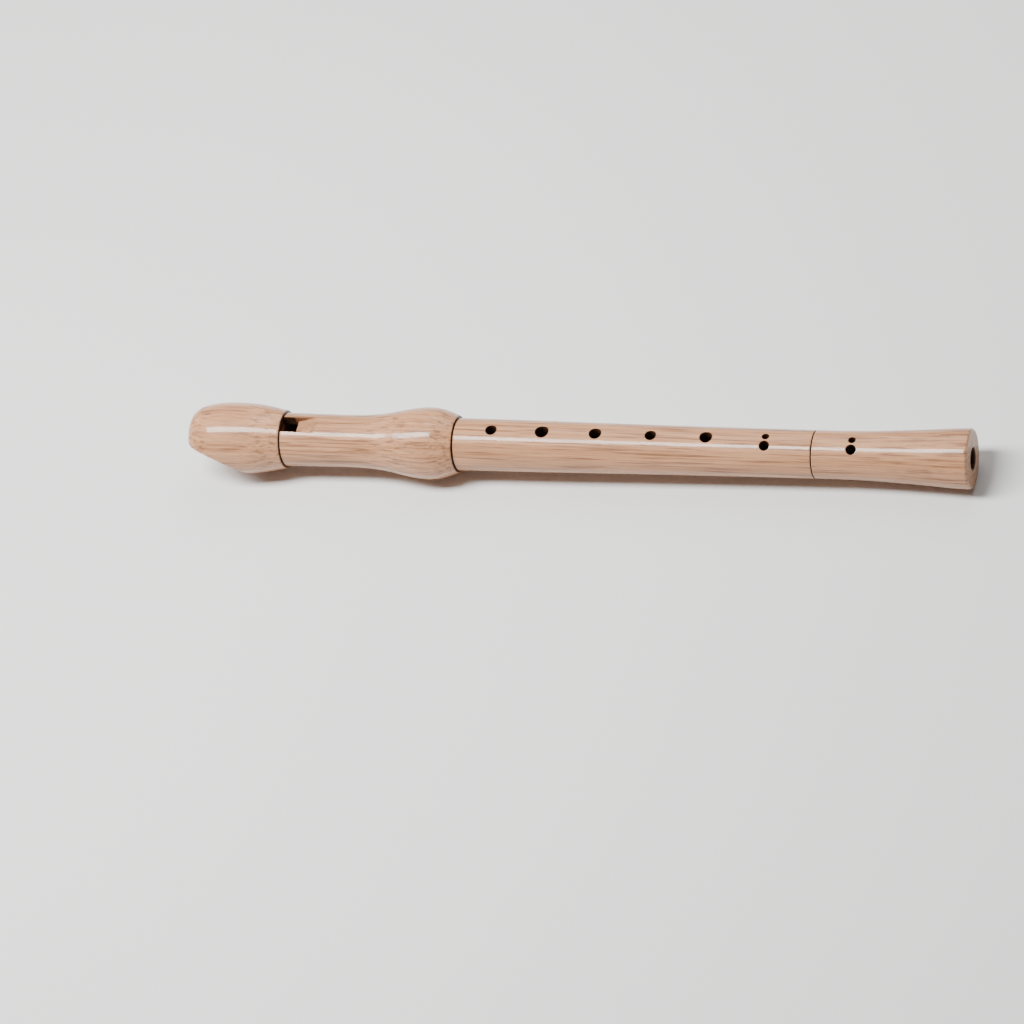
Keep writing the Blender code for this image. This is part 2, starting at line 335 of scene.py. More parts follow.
class Tube:
    """A turned tube whose outer and inner rows of points are joined at its ends and its holes."""

    def __init__(self, drillings):
        self.shape = bmesh.new()
        self.drillings = drillings
        places = [
            (d.station + end * (BLOCK_HALF_LENGTH + 1), d.lean)
            for d in drillings
            for end in (-1, 1)
        ]
        self.lean_at = sorted(places) or [(0, 0)]

    def lean(self, station):
        """How far the columns of points are turned at a station, in radians."""
        stations, leans = zip(*self.lean_at)
        return math.radians(float(np.interp(station, stations, leans)))

    def point(self, station, angle, radius):
        """A new point on the tube, at an angle from the finger holes."""
        return self.shape.verts.new((station, radius * math.sin(angle), radius * math.cos(angle)))

    def rows(self, profile, spread):
        """Rings of points along a profile. The spread moves the columns apart near the holes."""
        made = []
        for station, radius in profile:
            ring = []
            for column in range(COLUMNS):
                angle = math.tau * column / COLUMNS
                angle += spread * math.sin(2 * angle) + self.lean(station)
                ring.append(self.point(station, angle, radius))
            made.append(ring)
        return made

    def bridge(self, first, second, finish):
        """Faces between two closed rings of points."""
        count = len(first)
        for i in range(count):
            j = (i + 1) % count
            face = self.shape.faces.new((first[i], first[j], second[j], second[i]))
            face.material_index = finish

    def blocks(self, profile):
        """The first and last row of each hole's block in a profile."""
        found = []
        for drilling in self.drillings:
            ends = [drilling.station - BLOCK_HALF_LENGTH, drilling.station + BLOCK_HALF_LENGTH]
            rows = [min(range(len(profile)), key=lambda i: abs(profile[i][0] - e)) for e in ends]
            found.append(rows)
        return found

    def skin(self, rows, blocks, finishes):
        """Faces between neighbouring rows, left out where a hole's block will be filled."""
        left_out = set()
        for drilling, (first, last) in zip(self.drillings, blocks):
            middle = COLUMNS // 2 if drilling.side else 0
            for row in range(first, last):
                for step in range(-BLOCK_COLUMNS, BLOCK_COLUMNS):
                    left_out.add((row, (middle + step) % COLUMNS))
        for row in range(len(rows) - 1):
            for column in range(COLUMNS):
                if (row, column) in left_out:
                    continue
                after = (column + 1) % COLUMNS
                corners = (
                    rows[row][column],
                    rows[row][after],
                    rows[row + 1][after],
                    rows[row + 1][column],
                )
                self.shape.faces.new(corners).material_index = finishes[row]

    def hole(self, drilling, bore, columns, outer, inner, rim):
        """One drilled hole: its eased rim, its wall and its way into the bore."""
        radius, offset = bore
        paired = len(drilling.bores) > 1
        angle = math.radians(drilling.side + drilling.lean)
        up = Vector((0, math.sin(angle), math.cos(angle)))
        across = Vector((0, math.cos(angle), -math.sin(angle)))
        middle = COLUMNS // 2 if drilling.side else 0
        edges = []
        for rows, (first, last), _ in (outer, inner):
            low, high = columns
            loop = [(first, c) for c in range(low, high)]
            loop += [(r, high) for r in range(first, last)]
            loop += [(last, c) for c in range(high, low, -1)]
            loop += [(r, low) for r in range(last, first, -1)]
            edges.append([rows[r][(middle + c) % COLUMNS] for r, c in loop])

        def local(vertex, sideways):
            """A point's place along and across the bore of the hole."""
            return Vector((vertex.co.x - drilling.station, vertex.co.dot(across) - sideways))

        def ring(flat, curve, depth):
            """Points at these places on a surface, or below it by a depth."""
            made = []
            for (along, sideways), down in zip(flat, depth):
                surface = curve(drilling.station + along)
                height = math.sqrt(surface**2 - sideways**2) - down
                place = Vector((drilling.station + along, 0, 0)) + across * sideways + up * height
                made.append(self.shape.verts.new(place))
            return made

        count = len(edges[0])
        level = [0.0] * count
        inner_radius = radius * (0.85 if paired else 1.0)
        inner_offset = offset * 0.8
        ends = []
        for edge, size, sideways in (
            (edges[0], radius + rim, offset),
            (edges[1], inner_radius + BORE_RIM, inner_offset),
        ):
            places = [local(vertex, sideways) for vertex in edge]
            turns = np.unwrap([math.atan2(p.y, p.x) for p in places])
            if ends:
                # Both ends start on the same turn, so that the wall isn't twisted.
                turns -= math.tau * round((turns[0] - ends[0][1][0]) / math.tau)
            ends.append((places, turns, size, sideways))

        def circle(turns, size, sideways):
            return [(size * math.cos(t), sideways + size * math.sin(t)) for t in turns]

        def spreading(end, curve, shares):
            """Rings on a surface that change from the hole's circle to the block's outline."""
            places, turns, size, sideways = end
            rings = []
            for share in shares:
                flat = []
                for place, (along, across_by) in zip(places, circle(turns, size, sideways)):
                    flat.append(
                        (
                            along + (place.x - along) * share,
                            across_by + (place.y + sideways - across_by) * share,
                        )
                    )
                rings.append(ring(flat, curve, level))
            return rings

        shares = [(step / SURFACE_RINGS) ** 1.4 for step in range(SURFACE_RINGS)]
        surface = [edges[0], *reversed(spreading(ends[0], outer[2], shares))]
        rim_rings = []  # the eased rim
        for step in range(1, RIM_RINGS + 1):
            turn = math.pi / 2 * step / RIM_RINGS
            size = radius + rim * (1 - math.sin(turn))
            depth = [rim * (1 - math.cos(turn))] * count
            rim_rings.append(ring(circle(ends[0][1], size, offset), outer[2], depth))
        wall = []
        top = [vertex.co.dot(up) for vertex in rim_rings[-1]]
        for step in range(1, WALL_RINGS + 1):
            share = step / WALL_RINGS
            turns = [a + (b - a) * share for a, b in zip(ends[0][1], ends[1][1])]
            size = radius + (inner_radius - radius) * share
            sideways = offset + (inner_offset - offset) * share
            made = []
            for (along, beside), high in zip(circle(turns, size, sideways), top):
                bore_radius = inner[2](drilling.station + along)
                low = math.sqrt(bore_radius**2 - beside**2) + BORE_RIM
                height = high + (low - high) * share
                place = Vector((drilling.station + along, 0, 0)) + across * beside + up * height
                made.append(self.shape.verts.new(place))
            wall.append(made)
        bore_rings = [*spreading(ends[1], inner[2], shares), edges[1]]
        for first, second in zip(surface + rim_rings[:-1], surface[1:] + rim_rings):
            self.bridge(first, second, LACQUERED)
        # The hole's wall and its way into the bore get painted shade, dark as a hole in shade.
        deep = [rim_rings[-1], *wall, *bore_rings]
        for first, second in zip(deep, deep[1:]):
            self.bridge(first, second, OILED_AND_PAINTED_SHADE)

    def build(self, name, outer, inner, curves, finishes):
        """Makes the mesh object from both profiles, which run from the mouth end.

        The finishes are those of the outer rows, of the inner rows and of the face at the mouth end.
        """
        outside, inside, mouth_face = finishes
        outer_blocks, inner_blocks = self.blocks(outer), self.blocks(inner)
        outer_rows, inner_rows = self.rows(outer, 0.0), self.rows(inner, BORE_SPREAD)
        self.skin(outer_rows, outer_blocks, outside)
        self.skin(inner_rows, inner_blocks, inside)
        self.bridge(outer_rows[0], inner_rows[0], mouth_face)
        self.bridge(outer_rows[-1], inner_rows[-1], outside[-1])
        rim = sizes().hole_rim / MM
        for drilling, outside, inside in zip(self.drillings, outer_blocks, inner_blocks):
            count = len(drilling.bores)
            for i, bore in enumerate(drilling.bores):
                low = -BLOCK_COLUMNS + i * 2 * BLOCK_COLUMNS // count
                columns = (low, low + 2 * BLOCK_COLUMNS // count)
                self.hole(
                    drilling,
                    bore,
                    columns,
                    (outer_rows, outside, curves[0]),
                    (inner_rows, inside, curves[1]),
                    rim,
                )
        return mesh_object(name, self.shape)


# ---- Plain turnings and cutters --------------------------------------------------------------
def mesh_object(name, shape):
    """Turns a bmesh in millimetres on the bore's axis into an object in the frame."""
    bmesh.ops.remove_doubles(shape, verts=shape.verts, dist=0.0005)
    bmesh.ops.recalc_face_normals(shape, faces=shape.faces)
    shape.transform(Matrix.Translation(AXIS) @ Matrix.Scale(MM, 4))
    mesh = bpy.data.meshes.new(name)
    shape.to_mesh(mesh)
    shape.free()
    # Booleans keep the faces' finishes apart only where both meshes have a slot for each.
    for _ in (LACQUERED, BARE, OILED_AND_PAINTED_SHADE):
        mesh.materials.append(None)
    piece = bpy.data.objects.new(name, mesh)
    bpy.context.collection.objects.link(piece)
    return piece


def turning(name, profile, columns, finishes=None):
    """A solid of revolution from a closed profile of (station, radius) points."""
    shape = bmesh.new()
    rings = []
    for station, radius in profile:
        if radius == 0:
            rings.append([shape.verts.new((station, 0, 0))] * columns)
            continue
        angles = [math.tau * i / columns for i in range(columns)]
        rings.append(
            [shape.verts.new((station, radius * math.sin(a), radius * math.cos(a))) for a in angles]
        )
    for row, (ring, after) in enumerate(zip(rings, rings[1:] + rings[:1])):
        if ring[0] is ring[1] and after[0] is after[1]:
            continue
        for i in range(columns):
            j = (i + 1) % columns
            corners = dict.fromkeys((ring[i], ring[j], after[j], after[i]))
            face = shape.faces.new(corners)
            face.material_index = finishes[row] if finishes else 0
    return mesh_object(name, shape)


def wedge(name, stations, half_widths, bottoms, tops, finish=OILED_AND_PAINTED_SHADE):
    """A six-sided bar along the bore whose width and heights may differ at its ends. Its faces get
    painted shade unless another finish is given, so the walls that it cuts look shaded.
    """
    shape = bmesh.new()
    bmesh.ops.create_cube(shape, size=2.0)
    for vertex in shape.verts:
        far = vertex.co.x > 0
        height = (tops if vertex.co.z > 0 else bottoms)[far]
        vertex.co = Vector((stations[far], half_widths[far] * vertex.co.y, height))
    for face in shape.faces:
        face.material_index = finish
    return mesh_object(name, shape)


def beak_drum(columns):
    """A drum across the recorder, which leaves the hollow under the beak."""
    shape = bmesh.new()
    bmesh.ops.create_cone(
        shape,
        cap_ends=True,
        segments=columns,
        radius1=BEAK_DRUM_RADIUS,
        radius2=BEAK_DRUM_RADIUS,
        depth=40.0,
        matrix=Matrix.Rotation(math.radians(90), 4, "X"),
    )
    shape.transform(Matrix.Translation((BEAK_DRUM_STATION, 0, drum_height())))
    return mesh_object("beak_drum", shape)


def drum_height():
    """The height of the drum's axis, which puts the beak's tip at its own height."""
    return BEAK_TIP_HEIGHT - math.sqrt(BEAK_DRUM_RADIUS**2 - BEAK_DRUM_STATION**2)


def combine(piece, tools):
    """Applies a Boolean for each (operation, tool) and removes the tools."""
    for operation, tool in tools:
        modifier = piece.modifiers.new(operation.title(), "BOOLEAN")
        modifier.operation = operation
        modifier.object = tool
    graph = bpy.context.evaluated_depsgraph_get()
    mesh = bpy.data.meshes.new_from_object(piece.evaluated_get(graph))
    mesh.name = piece.name
    piece.modifiers.clear()
    piece.data = mesh
    for _, tool in tools:
        bpy.data.objects.remove(tool)
    return piece


def finish_piece(piece, node, body, finishes, sharp=35.0):
    """Shades a piece, gives it its materials and puts it in the place of its node."""
    faces, materials = piece.data.polygons, piece.data.materials
    chosen = [min(face.material_index, len(finishes) - 1) for face in faces]
    materials.clear()
    for material in finishes:
        materials.append(material)
    faces.foreach_set("material_index", chosen)
    piece.data.shade_smooth()
    piece.data.set_sharp_from_angle(angle=math.radians(sharp))
    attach(piece, body)
    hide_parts(node)
    return piece


# ---- Materials -------------------------------------------------------------------------------
def add_node(tree, kind, inputs=None, **settings):
    """A new node, with each input given as a value or as another node's output."""
    node = tree.nodes.new(kind)
    for key, value in settings.items():
        setattr(node, key, value)
    for key, value in (inputs or {}).items():
        if isinstance(value, bpy.types.NodeSocket):
            tree.links.new(value, node.inputs[key])
        else:
            node.inputs[key].default_value = value
    return node


def arithmetic(tree, operation, first, second=0.0):
    """The output of a Math node."""
    return add_node(tree, "ShaderNodeMath", {0: first, 1: second}, operation=operation).outputs[0]


def stretched(tree, position, scale):
    """A position multiplied by a scale on each axis."""
    node = add_node(
        tree, "ShaderNodeVectorMath", {0: position, 1: scale}, operation="MULTIPLY"
    )
    return node.outputs[0]


def blend_colours(tree, share, first, second):
    """A share of the second colour laid over the first."""
    node = add_node(tree, "ShaderNodeMix", data_type="RGBA")
    for socket, value in ((node.inputs[0], share), (node.inputs[6], first), (node.inputs[7], second)):
        if isinstance(value, bpy.types.NodeSocket):
            tree.links.new(value, socket)
        else:
            socket.default_value = value
    return node.outputs[2]


def between(tree, value, low, high):
    """Spreads the part of a value between low and high over 0 to 1, smoothly."""
    inputs = {"Value": value, "From Min": low, "From Max": high}
    return add_node(
        tree, "ShaderNodeMapRange", inputs, interpolation_type="SMOOTHSTEP"
    ).outputs[0]


def new_group(name, inputs, outputs):
    """An empty shader group, with the sockets that its nodes read and feed."""
    group = bpy.data.node_groups.new(name, "ShaderNodeTree")
    for label, kind, default in inputs:
        socket = group.interface.new_socket(label, in_out="INPUT", socket_type="NodeSocket" + kind)
        if default is not None:
            socket.default_value = default
    for label, kind in outputs:
        group.interface.new_socket(label, in_out="OUTPUT", socket_type="NodeSocket" + kind)
    source = group.nodes.new("NodeGroupInput")
    target = group.nodes.new("NodeGroupOutput")
    return group, source.outputs, target.inputs


def wood_grain_group():
    """Growth rings, fibre streaks and pores of wood whose trunk runs along X."""
    name = "Wood grain"
    if name in bpy.data.node_groups:
        return bpy.data.node_groups[name]
    tree, given, out = new_group(
        name,
        [
            ("Position", "Vector", None),
            ("Pale", "Color", (0.6, 0.4, 0.3, 1)),
            ("Dark", "Color", (0.4, 0.25, 0.17, 1)),
            ("Streak", "Color", (0.3, 0.18, 0.12, 1)),
            ("Ring Scale", "Float", 0.13),
            ("Stretch", "Float", 60.0),
            ("Streak Strength", "Float", 0.74),
            ("Pore Strength", "Float", 0.3),
        ],
        [("Color", "Color"), ("Roughness", "Float"), ("Height", "Float")],
    )
    place = given["Position"]
    shrink = arithmetic(tree, "DIVIDE", 1.0, given["Stretch"])

    def along(share, across):
        """The position, drawn out along the grain."""
        factor = add_node(
            tree,
            "ShaderNodeCombineXYZ",
            {"X": arithmetic(tree, "MULTIPLY", shrink, share), "Y": across, "Z": across},
        )
        return stretched(tree, place, factor.outputs[0])

    rings = add_node(
        tree,
        "ShaderNodeTexWave",
        {
            "Vector": along(1.2, 1.0),
            "Scale": given["Ring Scale"],
            "Distortion": 5.5,
            "Detail": 2.0,
            "Detail Scale": 1.3,
            "Detail Roughness": 0.55,
        },
        wave_type="RINGS",
        rings_direction="X",
        wave_profile="SAW",
    )
    ring = arithmetic(tree, "POWER", rings.outputs["Fac"], 1.6)

    def fibres(share, across, detail, roughness):
        """Noise drawn out into fibres that are about 1 / across millimetres thick."""
        values = {
            "Vector": along(share, across),
            "Scale": 1.0,
            "Detail": detail,
            "Roughness": roughness,
        }
        return add_node(tree, "ShaderNodeTexNoise", values).outputs["Fac"]

    def weighted(mask, weight):
        return arithmetic(tree, "MULTIPLY", mask, weight)

    wide = fibres(1.0, 0.34, 3.0, 0.55)
    band = fibres(1.8, 0.95, 3.0, 0.6)
    fine = fibres(4.0, 3.0, 3.0, 0.6)
    pore = between(tree, fibres(20.0, 7.0, 1.0, 0.5), 0.62, 0.74)
    base = blend_colours(tree, weighted(ring, 0.6), given["Pale"], given["Dark"])
    base = blend_colours(tree, weighted(between(tree, wide, 0.38, 0.64), 0.6), base, given["Dark"])
    streak = weighted(between(tree, band, 0.5, 0.66), given["Streak Strength"])
    base = blend_colours(tree, streak, base, given["Streak"])
    base = blend_colours(tree, weighted(between(tree, band, 0.47, 0.34), 0.45), base, given["Pale"])
    hair = weighted(between(tree, fine, 0.5, 0.68), weighted(given["Streak Strength"], 0.5))
    base = blend_colours(tree, hair, base, given["Streak"])
    base = blend_colours(tree, weighted(pore, given["Pore Strength"]), base, given["Streak"])
    tree.links.new(base, out["Color"])
    rough = arithmetic(tree, "ADD", arithmetic(tree, "MULTIPLY", streak, 0.12), 0.34)
    rough = arithmetic(tree, "ADD", arithmetic(tree, "MULTIPLY", pore, 0.1), rough)
    tree.links.new(rough, out["Roughness"])
    height = arithmetic(tree, "SUBTRACT", arithmetic(tree, "MULTIPLY", fine, 0.6), pore)
    tree.links.new(height, out["Height"])
    return tree


def wood_material(name, tones, shift, turn, grain_values, shader_values):
    """A wood finish. The shift and turn place it in its own piece of the plank."""
    material = bpy.data.materials.new(name)
    material.use_nodes = True
    tree = material.node_tree
    principled = tree.nodes["Principled BSDF"]
    position = add_node(
        tree,
        "ShaderNodeMapping",
        {
            "Vector": add_node(tree, "ShaderNodeTexCoord").outputs["Object"],
            "Location": shift,
            "Rotation": turn,
            "Scale": (1 / MM, 1 / MM, 1 / MM),
        },
    ).outputs[0]
    grain = tree.nodes.new("ShaderNodeGroup")
    grain.node_tree = wood_grain_group()
    tree.links.new(position, grain.inputs["Position"])
    for key, tone in zip(("Pale", "Dark", "Streak"), tones):
        grain.inputs[key].default_value = opaque(tone)
    for key, value in {"Stretch": sizes().grain_length, **grain_values}.items():
        grain.inputs[key].default_value = value
    tree.links.new(grain.outputs["Color"], principled.inputs["Base Color"])
    tree.links.new(grain.outputs["Roughness"], principled.inputs["Roughness"])
    bump = add_node(
        tree,
        "ShaderNodeBump",
        {"Height": grain.outputs["Height"], "Strength": 0.25, "Distance": 0.05 * MM},
    )
    tree.links.new(bump.outputs[0], principled.inputs["Normal"])
    for key, value in shader_values.items():
        principled.inputs[key].default_value = value
    return material


def pearwood(name, shift, turn):
    """The lacquered, the bare and the dark finish of one joint, cut from its own billet. The dark finish
    is oil and painted shade.
    """
    palette = colours()
    tones = [palette.pear_pale, palette.pear_dark, palette.pear_streak]
    gloss = {"Coat Weight": 0.7, "Coat IOR": 1.4, "Coat Roughness": 0.1, "Specular IOR Level": 0.1}
    lacquered = wood_material(name + "_lacquered", tones, shift, turn, {}, gloss)
    matt = {"Specular IOR Level": 0.3}
    finishes = [lacquered]
    # The dark finish keeps about a sixth of the wood's colours: painted shade for holes, bores, sockets
    # and seams, far darker than oil alone.
    for finish, share in (("bare", 0.82), ("oiled_and_painted_shade", 0.16)):
        dimmed = [[share * c for c in tone] for tone in tones]
        finishes.append(
            wood_material(f"{name}_{finish}", dimmed, shift, turn, {"Pore Strength": 0.5}, matt)
        )
    return finishes


def cedar():
    """Planed cedar, with closer rings than the pearwood."""
    palette = colours()
    tones = [palette.cedar_pale, palette.cedar_dark, palette.cedar_dark]
    grain = {"Ring Scale": 0.28, "Streak Strength": 0.35, "Pore Strength": 0.1}
    matt = {"Specular IOR Level": 0.25}
    return wood_material("cedar", tones, (4.0, 19.0, -21.0), (0.2, 0, 0), grain, matt)


def cork_material():
    """Pressed cork: crumbs of several browns with dark specks between them."""
    material = bpy.data.materials.new("cork")
    material.use_nodes = True
    tree = material.node_tree
    principled = tree.nodes["Principled BSDF"]
    place = stretched(
        tree, add_node(tree, "ShaderNodeTexCoord").outputs["Object"], (1 / MM, 1 / MM, 1 / MM)
    )
    crumbs = add_node(
        tree, "ShaderNodeTexVoronoi", {"Vector": place, "Scale": 1.5, "Randomness": 1.0}
    )
    tone = add_node(tree, "ShaderNodeSeparateColor", {"Color": crumbs.outputs["Color"]}).outputs[0]
    pale = opaque(colours().cork)
    deep = opaque([0.45 * c for c in colours().cork])
    base = blend_colours(tree, arithmetic(tree, "MULTIPLY", tone, 0.5), pale, deep)
    specks = add_node(
        tree, "ShaderNodeTexNoise", {"Vector": place, "Scale": 1.1, "Detail": 4.0}
    ).outputs["Fac"]
    base = blend_colours(tree, between(tree, specks, 0.6, 0.68), base, (0.05, 0.025, 0.015, 1))
    tree.links.new(base, principled.inputs["Base Color"])
    principled.inputs["Roughness"].default_value = 0.82
    bump = add_node(
        tree,
        "ShaderNodeBump",
        {"Height": crumbs.outputs["Distance"], "Strength": 0.5, "Distance": 0.15 * MM},
    )
    tree.links.new(bump.outputs[0], principled.inputs["Normal"])
    return material


# ---- Mouthpiece ------------------------------------------------------------------------------
BEAK_RAYS = 256
# The rays of a section start this far above the axis at the tip, and on it behind the chin.
RAY_START = 7.5
CHIN_STATION = 26.0
# The lower edge of the tip is eased over this length, by this height.
TIP_EASE = (0.55, 0.15)
MOUTHPIECE_SHAPE = (
    (0.0, 9.3),
    (0.5, 10.1),
    (1.3, 10.95),
    (3.0, 12.1),
    (5.5, 13.05),
    (9.0, 13.85),
    (14.0, 14.4),
    (20.0, 14.5),
    (26.0, 14.2),
    (32.0, 13.4),
    (36.5, 12.5),
    (39.8, 11.85),
)


def beak_sections():
    """Stations of the beak's sections, closest where the hollow climbs steeply to the chin."""
    steep, past = 20.5, 27.0
    tip = [0.0, 0.12, 0.3, 0.55, 0.9]
    chin = list(np.arange(steep, past, 0.1))
    return tip + evenly(1.3, steep - 0.4, 0.4) + chin + evenly(past, MOUTHPIECE_END - 0.8, 0.5)


def beak_ring(shape, station, radius, edge):
    """One section of the mouthpiece: a circle cut off below by the drum, with soft corners."""
    reach = BEAK_DRUM_RADIUS**2 - (station - BEAK_DRUM_STATION) ** 2
    cut = drum_height() + math.sqrt(reach) if reach > 0 else -2 * radius
    cut += TIP_EASE[1] * max(0.0, 1 - station / TIP_EASE[0]) ** 2
    centre = RAY_START * max(0.0, 1 - (station / CHIN_STATION) ** 2)
    ring = []
    for i in range(BEAK_RAYS):
        angle = math.tau * i / BEAK_RAYS
        sine, cosine = math.sin(angle), math.cos(angle)
        to_back = -centre * cosine + math.sqrt(radius**2 - (centre * sine) ** 2)
        to_cut = (centre - cut) / -cosine if cosine < -1e-6 else 1e6
        gap = max(edge - abs(to_back - to_cut), 0.0) / edge
        reach = min(to_back, to_cut) - edge * gap**2 / 4
        ring.append(shape.verts.new((station, reach * sine, centre + reach * cosine)))
    return ring


def build_mouthpiece():
    """The mouthpiece, with its beak, the windway's roof and the socket for the barrel's spigot."""
    edge = 2 * sizes().beak_edge / MM
    curve = smooth_curve(MOUTHPIECE_SHAPE)
    rows = [(s, curve(s)) for s in beak_sections()]
    end_radius = curve(MOUTHPIECE_END)
    socket = SPIGOT_RADIUS + SEAM
    rim = eased_corner(
        (MOUTHPIECE_END, end_radius), rows[-1], (MOUTHPIECE_END, socket), 0.7, 5
    )
    shape = bmesh.new()
    rings = [beak_ring(shape, s, r, edge) for s, r in rows + rim]
    # Rows past the rim's turn, into the spigot's socket, and the socket's end face get painted shade.
    for row, (ring, after) in enumerate(zip(rings, rings[1:])):
        for i in range(BEAK_RAYS):
            j = (i + 1) % BEAK_RAYS
            face = shape.faces.new((ring[i], ring[j], after[j], after[i]))
            face.material_index = OILED_AND_PAINTED_SHADE if row > len(rows) + 2 else LACQUERED
    shape.faces.new(reversed(rings[0]))
    shape.faces.new(rings[-1]).material_index = OILED_AND_PAINTED_SHADE
    mouthpiece = mesh_object("mouthpiece_wood", shape)
    floor = SPIGOT_START - SEAM
    cavity_profile = [
        (-2.0, 0.0),
        (-2.0, HEAD_BORE),
        (floor, HEAD_BORE),
        (floor, socket),
        (MOUTHPIECE_END + 2.0, socket),
        (MOUTHPIECE_END + 2.0, 0.0),
    ]
    # The cavity's walls get painted shade, dark as the bore and the socket in shade.
    # An odd number of columns keeps the cavity's corners off the beak's middle line.
    cavity = turning("cavity", cavity_profile, 127, [OILED_AND_PAINTED_SHADE] * len(cavity_profile))
    return combine(mouthpiece, [("DIFFERENCE", cavity), ("DIFFERENCE", windway_cutter())])


def windway_cutter():
    """The narrowing slot that the mouthpiece and the barrel have above the block."""
    reach = 1.0
    return wedge(
        "windway",
        (-reach, MOUTHPIECE_END + reach),
        WINDWAY_HALF_WIDTH,
        (0, 0),
        WINDWAY_ROOF,
    )


def build_block():
    """The cedar plug, with the windway's floor on top and a chamfer at its inner end."""
    radius = HEAD_BORE - FIT
    profile = [(BLOCK_END, 0.0), (BLOCK_END, radius), (0.0, radius), (0.0, 0.0)]
    block = turning("block_cedar", profile, 128)
    narrow = [width - FIT for width in WINDWAY_HALF_WIDTH]
    floor = wedge("floor", (0.0, BLOCK_END), narrow, (1.0, 1.0), (WINDWAY_FLOOR, WINDWAY_FLOOR))
    chamfer = 0.7
    bevel = wedge(
        "bevel",
        (BLOCK_END - chamfer, BLOCK_END + 1.0),
        (8.0, 8.0),
        (WINDWAY_FLOOR, WINDWAY_FLOOR - chamfer - 1.0),
        (12.0, 12.0),
    )
    return combine(
        block, [("UNION", floor), ("DIFFERENCE", bevel), ("DIFFERENCE", beak_drum(512))]
    )


# ---- Head barrel -----------------------------------------------------------------------------
def build_barrel():
    """The head joint's barrel, with its spigot, window, labium, bulge and socket."""
    shoulder = MOUTHPIECE_END + SEAM
    curve = smooth_curve(
        [
            (shoulder, SHOULDER_RADIUS),
            (55.0, 10.75),
            (68.0, 10.7),
            (76.0, 11.0),
            (84.0, 12.0),
            (91.0, 13.4),
            (97.0, 14.35),
            (101.5, girth("head_barrel") - 0.03),
            (106.0, 14.15),
            (110.0, 12.95),
            (HEAD_END, 11.55),
        ]
    )
    end_radius = curve(HEAD_END)
    body = [(s, curve(s)) for s in evenly(shoulder + 0.4, HEAD_END - 0.9, 0.5)]
    socket_floor = MIDDLE_START - SEAM
    front = eased_corner((shoulder, SHOULDER_RADIUS), (shoulder, SPIGOT_RADIUS), body[0], 0.3, 3)
    lip = eased_corner(
        (HEAD_END, end_radius), body[-1], (HEAD_END, UPPER_SOCKET), 0.75, 5
    )
    chamfer = 0.4
    inner = [
        (HEAD_END, UPPER_SOCKET + chamfer),
        (HEAD_END - chamfer, UPPER_SOCKET),
        (socket_floor, UPPER_SOCKET),
        (socket_floor, HEAD_BORE),
        (SPIGOT_START, HEAD_BORE),
    ]
    spigot = [(SPIGOT_START, SPIGOT_RADIUS), (shoulder, SPIGOT_RADIUS)]
    profile = [*spigot, *front, *body, *lip, *inner]
    # The faces in the seams and the deep half of their rounded edges get painted shade, dark as the gap
    # between joints in shade.
    finishes = [BARE, OILED_AND_PAINTED_SHADE, OILED_AND_PAINTED_SHADE]
    finishes += [LACQUERED] * (len(front) + len(body) + len(lip) - 4)
    finishes += [OILED_AND_PAINTED_SHADE] * 3 + [BARE] * 3 + [OILED_AND_PAINTED_SHADE] * 2
    barrel = turning("barrel_wood", profile, 192, finishes)
    top = 20.0
    width = WINDOW_HALF_WIDTH
    window_end = MOUTHPIECE_END + WINDOW_LENGTH
    slope = (curve(window_end + LABIUM_RUN) - LABIUM_TOP) / LABIUM_RUN
    overlap = 1.0
    # The window and the undercut leave walls of painted shade; the ramp is bare wood.
    window = wedge(
        "window", (MOUTHPIECE_END - 0.2, window_end), (width, width), (0, 0), (top, top)
    )
    run = LABIUM_RUN + 2 * overlap
    ramp = wedge(
        "ramp",
        (window_end - overlap, window_end - overlap + run),
        (width, width + 0.35),
        (LABIUM_TOP - slope * overlap, LABIUM_TOP + slope * (run - overlap)),
        (top, top),
        BARE,
    )
    undercut = wedge(
        "undercut",
        (window_end - overlap, window_end + UNDERCUT_LENGTH),
        (width, width),
        (0, 0),
        (LABIUM_UNDERSIDE, HEAD_BORE - overlap),
    )
    cutters = [windway_cutter(), window, ramp, undercut]
    return combine(barrel, [("DIFFERENCE", cutter) for cutter in cutters])


# ---- Middle and foot joints ------------------------------------------------------------------
def tenon_profile(free_end, shoulder, socket, cork, thickness):
    """A bare tenon from its free end to its shoulder, with the groove that its cork sits in."""
    radius = socket - TENON_CLEARANCE
    groove = socket - 2 * SEAM - thickness
    away = math.copysign(1.0, shoulder - free_end)
    near, far = (cork[0] - SEAM, cork[1] + SEAM)[:: int(away)]
    return [
        (free_end, radius - 0.5),
        (free_end + 0.5 * away, radius),
        (near, radius),
        (near, groove),
        (far, groove),
        (far, radius),
        (shoulder, radius),
    ]


